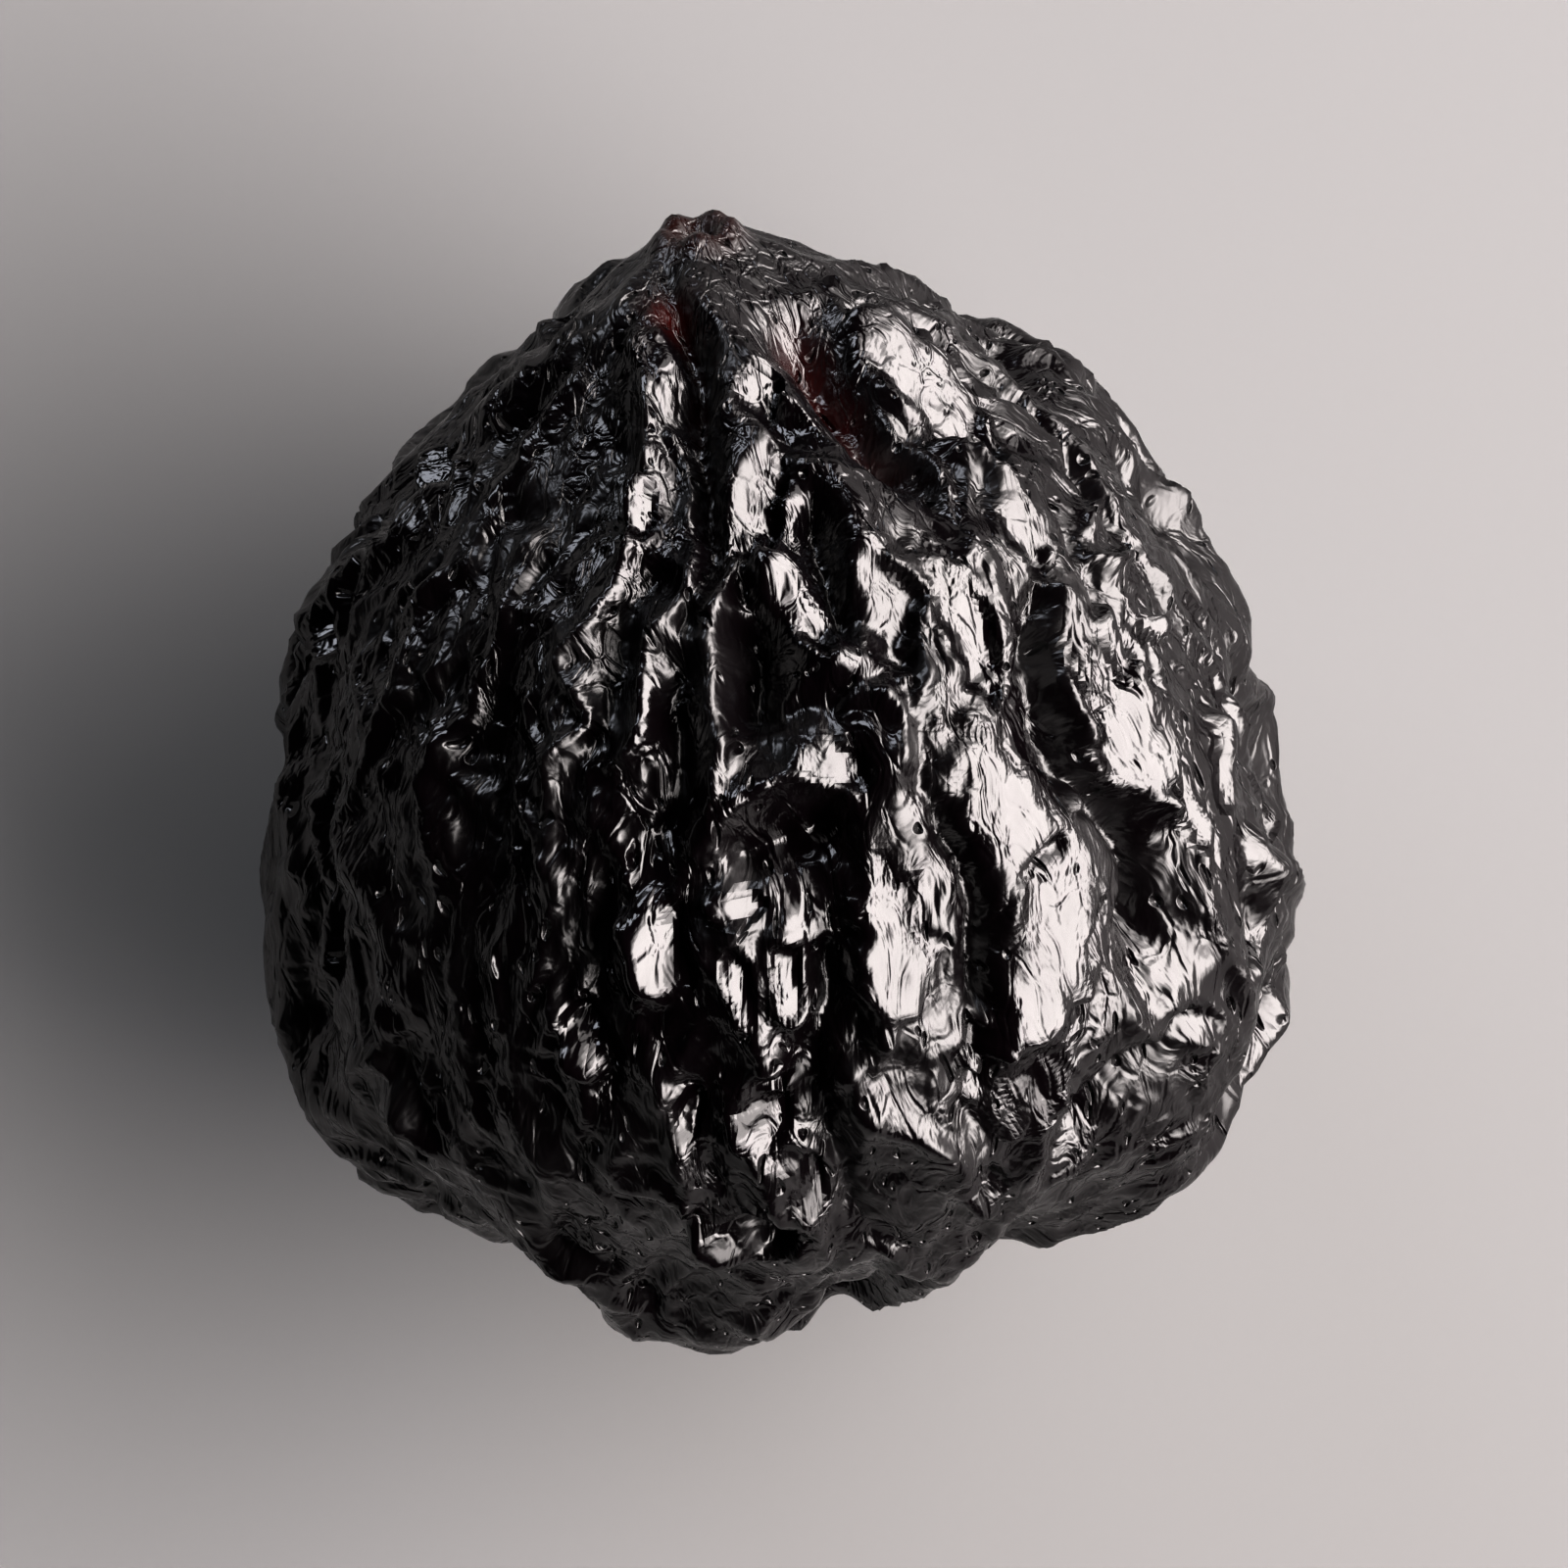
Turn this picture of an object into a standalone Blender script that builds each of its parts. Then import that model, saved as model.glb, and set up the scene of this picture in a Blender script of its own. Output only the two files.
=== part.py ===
"""A dried aronia berry, lying on its side as it rests on a table.

The berry is one grown piece: a rounded teardrop whose skin has sunk into folds. The folds run
from the withered calyx at the tip to the stem scar at the base and break up into pockets on the
way. The tip points to +Y, a little to the left and a little up. +Z is up, +X is to the right, and
the origin is under the middle of the berry, on the table.

Each point of the surface is a direction from the middle times a radius, and the radius is a
smooth form with the folds raised from it. Lengths in the tables are in millimetres.
"""

import math

import bpy
import numpy as np
from mathutils import Vector, noise

MM = 0.001

# Driving sizes of the dried berry, in millimetres
BERRY_WIDTH = 9.1
BERRY_LENGTH = 9.9
BERRY_HEIGHT = 8.1
MEAN_RADIUS = 4.5

# Where the tip points, in degrees
TIP_LEAN = 9.0
TIP_RISE = 22.0

# Outline from the tip (0 degrees) to the base (180 degrees): angle, radius
OUTLINE = [
    (0, 5.35),
    (12, 4.75),
    (30, 4.22),
    (48, 4.20),
    (65, 4.22),
    (90, 4.35),
    (115, 4.60),
    (145, 4.70),
    (180, 4.55),
]
OUTLINE_ROUNDING = 6.0
OUTLINE_STEP = 0.25
OUTLINE_MARGIN = 60.0
OUTLINE_KERNEL = 20.0

# Broad swellings and flats of the outline: turn in plan and rise in degrees, spread, height
SWELLINGS = [
    (-137, 0, 17.5, 0.38),
    (-30, 0, 16.0, 0.34),
    (15, 10, 15.0, -0.26),
    (-68, -5, 10.0, -0.20),
    (160, 10, 15.5, 0.10),
    (104, 0, 7.5, 0.12),
    (-98, 0, 9.0, 0.15),
]

# Sharp ridges over the upper side: points (x, y) in plan, height, half width
RIDGES = [
    ([(-0.9, 4.6), (-1.6, 3.9), (-2.6, 2.9), (-3.2, 2.2), (-4.2, 1.1), (-4.5, 0.3)], 0.26, 0.22),
    ([(-1.0, 4.4), (-1.7, 3.5), (-2.3, 2.6), (-3.0, 1.6), (-3.4, 0.6), (-3.8, -0.4)], 0.22, 0.16),
    ([(-0.95, 4.3), (-1.25, 3.7), (-1.15, 3.1), (-1.2, 2.5), (-1.3, 1.9), (-1.6, 1.35), (-1.9, 0.95),
      (-1.65, 0.45), (-1.95, 0.1), (-2.05, -0.2), (-2.1, -0.8)], 0.26, 0.075),
    ([(-1.1, 3.0), (-0.85, 2.8), (-0.75, 2.3), (-0.7, 1.9), (-0.9, 1.4), (-1.15, 1.1), (-1.2, 0.5),
      (-1.4, 0.15), (-1.75, 0.0)], 0.26, 0.075),
    ([(-0.75, 4.5), (-0.5, 3.7), (-0.35, 2.8), (-0.35, 2.1), (-0.25, 1.7)], 0.36, 0.24),
    ([(-0.35, 1.9), (-0.6, 1.2), (-0.58, 0.6), (-0.5, 0.1), (-0.6, -0.3), (-0.85, -0.6)], 0.32, 0.12),
    ([(-0.15, 1.9), (0.1, 1.4), (0.3, 1.0), (0.65, 0.8)], 0.32, 0.18),
    ([(-0.7, 4.4), (-0.25, 3.4), (0.25, 2.7), (0.55, 2.3), (0.75, 1.6), (1.1, 0.9)], 0.32, 0.22),
    ([(0.5, 3.95), (0.95, 3.3), (1.5, 2.9), (1.8, 2.6), (2.1, 2.3), (2.2, 1.8), (2.5, 1.6)], 0.24, 0.09),
    ([(0.85, 3.25), (1.05, 2.95), (1.3, 2.7), (1.5, 2.35)], 0.24, 0.07),
    ([(2.5, 1.7), (2.6, 0.7), (3.0, 0.0), (3.65, -0.4), (3.75, -1.3), (4.1, -1.9)], 0.20, 0.09),
    ([(2.62, 2.05), (2.72, 2.26), (2.93, 2.26), (3.03, 2.05), (2.93, 1.84), (2.72, 1.84), (2.62, 2.05)],
     0.22, 0.07),
    ([(0.3, 4.45), (1.6, 4.0), (2.5, 3.5), (3.3, 2.9), (3.9, 2.1), (4.3, 1.2)], 0.26, 0.18),
    ([(0.3, 4.3), (1.1, 3.9), (2.0, 3.3), (2.65, 2.7), (3.1, 2.0), (3.6, 1.2), (4.1, 0.4)], 0.24, 0.16),
    ([(-0.8, -0.7), (-0.4, -0.3), (0.15, -0.05), (0.7, 0.0), (1.05, 0.3), (0.95, 0.6), (0.6, 0.75)],
     0.30, 0.16),
    ([(-2.2, 2.0), (-2.7, 0.6), (-3.1, -0.1), (-3.0, -1.1)], 0.22, 0.15),
    ([(-0.5, -1.2), (-0.4, -1.6), (-0.35, -2.1), (-0.2, -2.6), (-0.25, -3.2), (0.2, -4.3)], 0.22, 0.14),
    ([(0.0, -1.3), (0.05, -1.8), (0.15, -2.3)], 0.20, 0.12),
    ([(0.5, -2.4), (0.7, -2.9), (1.3, -3.3), (1.8, -3.7)], 0.22, 0.18),
    ([(-2.1, -0.7), (-2.1, -1.5), (-2.3, -2.8), (-1.9, -3.9)], 0.14, 0.14),
    ([(-3.9, -0.4), (-3.4, -1.4), (-3.5, -2.5), (-3.0, -3.4)], 0.22, 0.18),
    ([(-1.2, -2.2), (-1.0, -2.9), (-0.8, -3.9)], 0.20, 0.16),
    ([(3.1, -1.9), (3.3, -2.3), (3.8, -2.4)], 0.16, 0.12),
]

# Rounded swellings over the upper side: points (x, y) in plan, height, half width
ROLLS = [
    ([(-1.7, -2.0), (-1.7, -2.6)], 0.18, 0.20),
    ([(1.3, 2.1), (1.9, 0.8)], 0.10, 0.40),
]

# Grooves over the upper side: points (x, y) in plan, depth, half width
GROOVES = [
    ([(-0.1, 4.2), (0.2, 3.8), (0.5, 3.3), (0.8, 2.9), (1.3, 2.5)], 0.50, 0.26),
    ([(-0.9, 4.3), (-0.75, 3.6), (-0.7, 3.0), (-0.62, 2.3), (-0.6, 1.7)], 0.42, 0.14),
    ([(-0.2, 1.4), (-0.2, 0.9), (-0.15, 0.3)], 0.60, 0.24),
    ([(0.25, 2.3), (0.4, 1.7), (0.55, 1.1)], 0.42, 0.13),
    ([(2.3, 1.7), (2.35, 1.0), (2.5, 0.4), (2.85, -0.2), (3.3, -0.7), (3.35, -1.3), (3.3, -1.9)],
     0.55, 0.24),
    ([(-0.5, -0.85), (0.05, -0.7), (0.6, -0.5)], 0.45, 0.24),
    ([(1.35, -0.2), (1.6, -0.8), (1.8, -1.5), (1.8, -2.4), (1.65, -3.0)], 0.36, 0.13),
    ([(2.55, -0.6), (2.3, -0.8), (2.1, -1.0)], 0.20, 0.10),
    ([(-1.0, 1.9), (-1.3, 1.35), (-1.45, 0.7), (-1.8, 0.0)], 0.16, 0.12),
    ([(-0.75, 1.2), (-0.95, 0.4), (-0.9, -0.3), (-1.3, -0.8)], 0.24, 0.18),
    ([(-1.7, 2.8), (-2.1, 1.9), (-2.5, 0.9), (-2.6, -0.1), (-2.5, -1.4)], 0.22, 0.26),
    ([(2.4, 2.4), (2.8, 1.6), (3.3, 0.7), (3.55, 0.0)], 0.20, 0.10),
    ([(0.55, 0.65), (0.95, 0.8), (1.2, 0.35), (1.2, -0.3)], 0.20, 0.07),
    ([(1.4, 3.7), (2.2, 3.1), (2.8, 2.4), (3.4, 1.5), (3.9, 0.7)], 0.24, 0.14),
    ([(-1.5, -0.9), (-1.6, -1.8), (-1.4, -2.8)], 0.16, 0.16),
    ([(0.4, -1.3), (0.4, -2.1), (0.3, -2.8), (0.8, -4.1)], 0.24, 0.18),
    ([(2.4, -3.4), (3.1, -2.7), (3.7, -2.1)], 0.26, 0.16),
]
LINE_STEP = 0.06
LINE_END_SHARE = 0.35
LINE_END_RUN = 1 / 6
LINE_END_NARROWING = 0.3
CREST_ROUNDING = 0.35
ROLL_ROUNDING = 3.0
READING_ROUNDS = 8

# Flat patches of skin over the upper side: x and y in plan, half length, half width, turn of the
# long axis from +Y to +X, the way the patch faces, its tilt, height over the smooth form
FACETS = [
    (1.25, 3.36, 0.90, 0.40, -43, 28, 36, 0.04),
    (2.12, 2.98, 0.50, 0.32, -43, 56, 38, 0.02),
    (2.15, 2.12, 0.48, 0.24, -14, 18, 34, 0.06),
    (0.15, 2.82, 0.45, 0.23, -45, 118, 31, 0.12),
    (-0.20, 3.20, 0.22, 0.20, 0, 8, 32, 0.12),
    (-0.28, 2.35, 0.70, 0.25, -2, -5, 31, 0.16),
    (0.08, 1.45, 0.58, 0.21, -33, 8, 30, 0.14),
    (0.85, 1.45, 0.62, 0.32, -8, 0, 29, 0.04),
    (1.62, 1.30, 0.62, 0.28, -22, -4, 29, 0.00),
    (2.62, 1.15, 0.58, 0.14, -5, 5, 34, 0.08),
    (2.98, 1.00, 0.42, 0.11, -4, 5, 34, 0.06),
    (3.20, 0.32, 0.58, 0.44, -30, 0, 35, 0.06),
    (3.30, 1.25, 0.13, 0.18, 0, 0, 32, 0.06),
    (3.65, -0.35, 0.42, 0.14, -35, 0, 34, 0.06),
    (3.86, 0.15, 0.50, 0.18, 4, -3, 36, 0.12),
    (1.93, -0.35, 0.82, 0.42, -27, -4, 28, 0.06),
    (2.38, -1.52, 1.06, 0.47, 18, -12, 32, 0.08),
    (2.25, -2.80, 0.44, 0.38, 8, -46, 37, 0.04),
    (0.93, -1.47, 0.90, 0.31, 0, -5, 30, 0.14),
    (-0.40, -1.20, 0.14, 0.30, 0, -5, 29, 0.10),
    (-0.37, -1.80, 0.34, 0.14, -8, 0, 30, 0.10),
    (0.05, -1.92, 0.40, 0.13, -6, 0, 30, 0.10),
    (-1.05, -1.50, 0.48, 0.30, -4, -5, 30, 0.16),
    (-1.70, -2.30, 0.36, 0.19, 0, 100, 22, 0.10),
    (0.45, 0.03, 0.20, 0.40, 12, 0, 30, 0.10),
    (-0.20, -3.00, 0.38, 0.28, -10, -28, 34, 0.05),
    (-0.82, -3.02, 0.30, 0.10, 10, -20, 34, 0.05),
    (-0.32, -4.05, 0.28, 0.44, 0, -36, 40, 0.0),
    (0.28, -3.70, 0.34, 0.17, -5, -32, 37, 0.04),
    (1.80, -3.62, 0.28, 0.22, -20, -36, 38, 0.02),
    (-1.20, 2.20, 0.24, 0.15, 0, -5, 31, 0.12),
    (-2.98, 2.60, 0.30, 0.25, 0, 125, 32, 0.04),
    (-4.00, 1.15, 0.28, 0.20, 10, 125, 34, 0.0),
    (-2.00, 3.80, 0.12, 0.18, 0, 120, 34, 0.04),
    (4.20, -1.15, 0.55, 0.22, -10, -46, 38, 0.04),
]
FACET_RIM = 4.0
FACET_RAGGEDNESS = (0.5, 0.7)
FACET_SMALLEST_RIM = 0.5
FACET_REACH = 2.0
FACET_HEIGHTS = (-0.40, 0.34)
FACET_CALM = 0.6

# Long pockets between the folds, in rings round the tip: angle from it, count, half length and width
POCKET_RINGS = [
    (15, 9, 0.90, 0.26),
    (36, 13, 0.95, 0.42),
    (56, 17, 1.00, 0.45),
    (76, 19, 1.00, 0.48),
    (96, 20, 1.00, 0.48),
    (116, 18, 0.90, 0.48),
    (136, 14, 0.85, 0.45),
    (154, 9, 0.75, 0.36),
    (170, 6, 0.50, 0.24),
]
RING_SEED = 4
RING_ANGLE_JITTER = 7.0
RING_PLACE_JITTER = 0.35
RING_LENGTHS = (0.75, 1.25)
RING_WIDTHS = (0.8, 1.25)
RING_TWIST = 25.0
RING_DEPTHS = (0.15, 0.50)
RING_SHARPNESS = 8.0
RING_CEILING = 0.5

# Small pockets scattered over the whole skin
SMALL_COUNT = 900
SMALL_SEED = 9
SMALL_JITTER = 0.35
SMALL_HALF_LENGTH = 0.42
SMALL_HALF_WIDTH = 0.17
SMALL_SIZES = (0.7, 1.3)
SMALL_TWIST = 50.0
SMALL_DEPTHS = (0.03, 0.13)
SMALL_SHARPNESS = 40.0
SMALL_CEILING = 0.2

POCKET_REACH = 3.5
TALLEST_FOLD = 0.34
TIP_FOLD_SHARE = 0.3
TIP_FOLD_SPREAD = 10.0

# The upper side has its own ridges and grooves, so its pockets are fainter, most of all on the right
TOP_EDGE = 0.12
TOP_BLEND = 0.07
TOP_RING_SHARE = 0.15
TOP_SMALL_SHARE = 0.5
TOP_RIGHT_EASE = 0.3

# Smooth drift that keeps the folds from being regular: scale and seed of four sizes, then the
# share of each size that bends the rings, the drawn lines and the small pockets
DRIFTS =[(1.7, 1), (4.5, 2), (9.0, 3), (22.0, 4)]
RING_DRIFT = (0.16, 0.05, 0.0, 0.0)
LINE_DRIFT = (0.0, 0.02, 0.012, 0.006)
SMALL_DRIFT = (0.10, 0.06, 0.03, 0.0)
TIP_DRIFT_SHARE = 0.15
TIP_DRIFT_SPREAD = 16.0

# Withered calyx at the tip: a ring of five lobes round a small pit
CALYX_RADIUS = 0.27
CALYX_HEIGHT = 0.13
CALYX_WALL = 0.12
CALYX_LOBES = 5
CALYX_LOBE_SHARE = 0.3
CALYX_PIT_RADIUS = 0.14
CALYX_PIT_DEPTH = 0.16

# Stem scar at the base: a dimple with a low pad in it
SCAR_RADIUS = 0.75
SCAR_DEPTH = 0.55
SCAR_PAD_RADIUS = 0.28
SCAR_PAD_HEIGHT = 0.22

# The flat spot that it lies on
FOOT_DEPTH = 0.30
FOOT_SPREAD = 24.0
FOOT_FOLD_SHARE = 0.25
FOOT_LEVELLING = 0.005

# Mesh
DIVISIONS = 84
FACE_SHARE = 0.135

# Skin
SKIN_COLOUR = (0.006, 0.004, 0.005, 1.0)
SKIN_ROUGHNESS = 0.24


def unit(vectors):
    return vectors / np.linalg.norm(vectors, axis=-1, keepdims=True)


def direction(turn, rise):
    """A direction given by its turn in plan from +X and its rise, in degrees."""
    turn = math.radians(turn)
    rise = math.radians(rise)
    level = math.cos(rise)
    return np.array([math.cos(turn) * level, math.sin(turn) * level, math.sin(rise)])


def tip_axes():
    """The tip's direction, the direction across it that is nearest to up, and the third one."""
    tip = direction(90 + TIP_LEAN, TIP_RISE)
    up = np.array([0.0, 0.0, 1.0])
    over = unit(up - tip * tip[2])
    return tip, over, np.cross(tip, over)


TIP, OVER, ACROSS = tip_axes()


def from_tip(angle, turn):
    """A direction given by its angle from the tip and its turn round it, in radians."""
    ring = math.cos(turn) * OVER + math.sin(turn) * ACROSS
    return math.cos(angle) * TIP + math.sin(angle) * ring


def cube_sphere(divisions):
    """Directions and quads of a sphere made from a cube's grid, evened out by the tangent."""
    steps = [math.tan(math.pi / 4 * (2 * i / divisions - 1)) for i in range(divisions + 1)]
    number = {}
    points = []
    quads = []
    for axis in range(3):
        for side in (-1, 1):
            grid = []
            for a in steps:
                row = []
                for b in steps:
                    point = [0.0, 0.0, 0.0]
                    point[axis] = float(side)
                    point[(axis + 1) % 3] = a
                    point[(axis + 2) % 3] = b
                    key = tuple(round(value, 6) for value in point)
                    if key not in number:
                        number[key] = len(points)
                        points.append(point)
                    row.append(number[key])
                grid.append(row)
            for i in range(divisions):
                for j in range(divisions):
                    quad = (grid[i][j], grid[i + 1][j], grid[i + 1][j + 1], grid[i][j + 1])
                    quads.append(quad if side > 0 else quad[::-1])
    return unit(np.array(points)), quads


def drift(directions, scale, seed):
    """Smooth noise vectors over the sphere."""
    noise.seed_set(seed)
    return np.array([noise.noise_vector(Vector(d) * scale) for d in directions])


def drifted(directions, drifts, shares):
    return unit(directions + sum(share * vectors for share, vectors in zip(shares, drifts)))


def outline_radius(angle):
    """The outline's radius at angles from the tip, in degrees, with its corners rounded."""
    at = np.arange(-OUTLINE_MARGIN, 180 + OUTLINE_MARGIN + OUTLINE_STEP, OUTLINE_STEP)
    mirrored = np.where(at < 0, -at, np.where(at > 180, 360 - at, at))
    radius = np.interp(mirrored, [p[0] for p in OUTLINE], [p[1] for p in OUTLINE])
    kernel_at = np.arange(-OUTLINE_KERNEL, OUTLINE_KERNEL + OUTLINE_STEP, OUTLINE_STEP)
    kernel = np.exp(-0.5 * (kernel_at / OUTLINE_ROUNDING) ** 2)
    rounded = np.convolve(radius, kernel / kernel.sum(), mode="same")
    return np.interp(angle, at, rounded)


def angle_from_tip(directions):
    return np.degrees(np.arccos(np.clip(directions @ TIP, -1, 1)))


def smooth_radius(directions):
    """The radius of the smooth form: the outline and its broad swellings."""
    radius = outline_radius(angle_from_tip(directions))
    for turn, rise, spread, height in SWELLINGS:
        away = np.degrees(np.arccos(np.clip(directions @ direction(turn, rise), -1, 1)))
        radius += height * np.exp(-0.5 * (away / spread) ** 2)
    return radius


def smooth_line(points):
    """Close points along a Catmull-Rom curve through the given ones."""
    points = [np.array(point) for point in points]
    points = [2 * points[0] - points[1]] + points + [2 * points[-1] - points[-2]]
    line = []
    for a, b, c, d in zip(points, points[1:], points[2:], points[3:]):
        count = max(2, int(np.linalg.norm(c - b) / LINE_STEP))
        for k in range(count):
            t = k / count
            square = (2 * a - 5 * b + 4 * c - d) * t**2
            cube = (3 * b - a - 3 * c + d) * t**3
            line.append(0.5 * (2 * b + (c - a) * t + square + cube))
    line.append(points[-2])
    return np.array(line)


def plan_direction(plan):
    """The direction of the point of the smooth form's upper side that lies at (x, y) in plan."""
    radius = np.full(len(plan), MEAN_RADIUS)
    for _ in range(READING_ROUNDS):
        height = np.sqrt(np.maximum(radius**2 - (plan**2).sum(axis=1), 0.0))
        directions = unit(np.column_stack([plan, height]))
        radius = smooth_radius(directions)
    return directions


def line_relief(directions, lines, rounding):
    """Pinched rolls along the drawn lines, thinner and lower towards their ends."""
    relief = np.zeros(len(directions))
    for points, height, half_width in lines:
        line = plan_direction(smooth_line(points))
        closest = np.full(len(directions), -1.0)
        place = np.zeros(len(directions))
        for index, point in enumerate(line):
            cosine = directions @ point
            nearer = cosine > closest
            closest[nearer] = cosine[nearer]
            place[nearer] = index / (len(line) - 1)
        away = np.sqrt(np.maximum(2 - 2 * closest, 0)) * MEAN_RADIUS
        end = np.minimum(np.minimum(place, 1 - place) / LINE_END_RUN, 1)
        fullness = LINE_END_SHARE + (1 - LINE_END_SHARE) * end
        width = half_width * (1 - LINE_END_NARROWING * (1 - fullness))
        pinch = np.exp(rounding - np.sqrt((away / width) ** 2 + rounding**2))
        relief = np.maximum(relief, height * fullness * pinch)
    return relief


def facet_relief(directions, relief, rim):
    """The relief with a plane in its place inside each facet's ragged oval, and the planes' cover."""
    smooth = smooth_radius(directions)
    cover = np.zeros(len(directions))
    for x, y, half_length, half_width, turn, facing, tilt, height in FACETS:
        centre = plan_direction(np.array([[x, y]]))
        radius = smooth_radius(centre)[0] + height
        centre = centre[0]
        along = direction(90 - turn, 0)
        along = unit(along - centre * (along @ centre))
        aside = np.cross(centre, along)
        normal = direction(facing, 90 - tilt)
        offset = (directions - centre) * MEAN_RADIUS
        near = np.flatnonzero((offset**2).sum(axis=1) < (FACET_REACH * half_length) ** 2)
        offset = offset[near]
        oval = (offset @ along / half_length) ** 2 + (offset @ aside / half_width) ** 2
        share = np.exp(-((oval * rim[near]) ** FACET_RIM))
        plane = radius * (centre @ normal) / (directions[near] @ normal) - smooth[near]
        plane = np.clip(plane, *FACET_HEIGHTS)
        relief[near] += share * (plane - relief[near])
        cover[near] = np.maximum(cover[near], share)
    return relief, cover


def ring_pockets():
    """Long pockets in staggered rings round the tip, each jittered a little."""
    random = np.random.default_rng(RING_SEED)
    pockets = []
    for angle, count, half_length, half_width in POCKET_RINGS:
        for k in range(count):
            from_axis = math.radians(angle + random.uniform(-RING_ANGLE_JITTER, RING_ANGLE_JITTER))
            place = k + random.uniform(-RING_PLACE_JITTER, RING_PLACE_JITTER)
            turn = math.radians(360 * place / count)
            length = half_length * random.uniform(*RING_LENGTHS)
            width = half_width * random.uniform(*RING_WIDTHS)
            twist = math.radians(random.uniform(-RING_TWIST, RING_TWIST))
            depth = random.uniform(*RING_DEPTHS)
            pockets.append((from_tip(from_axis, turn), length, width, twist, depth))
    return pockets


def small_pockets():
    """Small pockets, spread evenly by the golden angle and then jittered."""
    random = np.random.default_rng(SMALL_SEED)
    golden_angle = math.pi * (3 - math.sqrt(5))
    jitter = SMALL_JITTER / math.sqrt(SMALL_COUNT)
    pockets = []
    for i in range(SMALL_COUNT):
        from_axis = math.acos(1 - 2 * (i + 0.5) / SMALL_COUNT)
        centre = unit(from_tip(from_axis, i * golden_angle) + random.normal(0, jitter, 3))
        length = SMALL_HALF_LENGTH * random.uniform(*SMALL_SIZES)
        width = SMALL_HALF_WIDTH * random.uniform(*SMALL_SIZES)
        twist = math.radians(random.uniform(-SMALL_TWIST, SMALL_TWIST))
        depth = random.uniform(*SMALL_DEPTHS)
        pockets.append((centre, length, width, twist, depth))
    return pockets


def pocket_relief(directions, pockets, sharpness, ceiling):
    """A smooth minimum of the pockets' bowls, so that ridges are left where two bowls meet."""
    total = np.full(len(directions), math.exp(-sharpness * ceiling))
    for centre, half_length, half_width, twist, depth in pockets:
        along = unit(TIP - centre * (TIP @ centre))
        aside = np.cross(centre, along)
        along, aside = (
            math.cos(twist) * along + math.sin(twist) * aside,
            math.cos(twist) * aside - math.sin(twist) * along,
        )
        offset = (directions - centre) * MEAN_RADIUS
        near = np.flatnonzero((offset**2).sum(axis=1) < (POCKET_REACH * half_length) ** 2)
        offset = offset[near]
        bowl = (offset @ along / half_length) ** 2
        bowl += (offset @ aside / half_width) ** 2
        bowl += (offset @ centre / half_width) ** 2
        total[near] += np.exp(-sharpness * depth * (bowl - 1))
    return -np.log(total) / sharpness


def calyx_relief(directions, angle):
    """The calyx's ring of lobes and its pit, by distance from the tip."""
    away = np.radians(angle) * MEAN_RADIUS
    turn = np.arctan2(directions @ ACROSS, directions @ OVER)
    lobes = 1 + CALYX_LOBE_SHARE * np.cos(CALYX_LOBES * turn)
    ring = CALYX_HEIGHT * lobes * np.exp(-(((away - CALYX_RADIUS) / CALYX_WALL) ** 2))
    pit = CALYX_PIT_DEPTH * np.exp(-((away / CALYX_PIT_RADIUS) ** 2))
    return ring - pit


def scar_relief(angle):
    away = np.radians(180 - angle) * MEAN_RADIUS
    dimple = SCAR_DEPTH * np.exp(-((away / SCAR_RADIUS) ** 2))
    pad = SCAR_PAD_HEIGHT * np.exp(-((away / SCAR_PAD_RADIUS) ** 4))
    return pad - dimple


def fold_relief(directions, angle):
    """Height of all folds over the smooth form."""
    drifts = [drift(directions, scale, seed) for scale, seed in DRIFTS]
    loose = (1 - (1 - TIP_DRIFT_SHARE) * np.exp(-((angle / TIP_DRIFT_SPREAD) ** 2)))[:, None]
    tip_drifts = [vectors * loose for vectors in drifts]
    ring_at = drifted(directions, tip_drifts, RING_DRIFT)
    small_at = drifted(directions, tip_drifts, SMALL_DRIFT)
    line_at = drifted(directions, drifts, LINE_DRIFT)

    on_top = 1 / (1 + np.exp(-(directions[:, 2] - TOP_EDGE) / TOP_BLEND))
    ring_share = 1 - (1 - TOP_RING_SHARE) * on_top
    top_share = TOP_SMALL_SHARE - TOP_RIGHT_EASE * directions[:, 0]
    small_share = 1 - (1 - top_share) * on_top

    relief = ring_share * pocket_relief(ring_at, ring_pockets(), RING_SHARPNESS, RING_CEILING)
    relief += line_relief(line_at, RIDGES, CREST_ROUNDING)
    relief += line_relief(line_at, ROLLS, ROLL_ROUNDING)
    rim = 1 + FACET_RAGGEDNESS[0] * drifts[2][:, 0] + FACET_RAGGEDNESS[1] * drifts[3][:, 1]
    relief, cover = facet_relief(line_at, relief, np.maximum(rim, FACET_SMALLEST_RIM))
    calm = 1 - FACET_CALM * cover
    relief -= calm * line_relief(line_at, GROOVES, CREST_ROUNDING)
    small = pocket_relief(small_at, small_pockets(), SMALL_SHARPNESS, SMALL_CEILING)
    relief += calm * small_share * small
    capped = TALLEST_FOLD * np.tanh(relief / TALLEST_FOLD)
    relief = np.where(relief > 0, cover * relief + (1 - cover) * capped, relief)

    to_foot = np.degrees(np.arccos(np.clip(-directions[:, 2], -1, 1)))
    share = 1 - (1 - TIP_FOLD_SHARE) * np.exp(-((angle / TIP_FOLD_SPREAD) ** 2))
    share *= 1 - (1 - FOOT_FOLD_SHARE) * np.exp(-((to_foot / FOOT_SPREAD) ** 2))
    return relief * share


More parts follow.
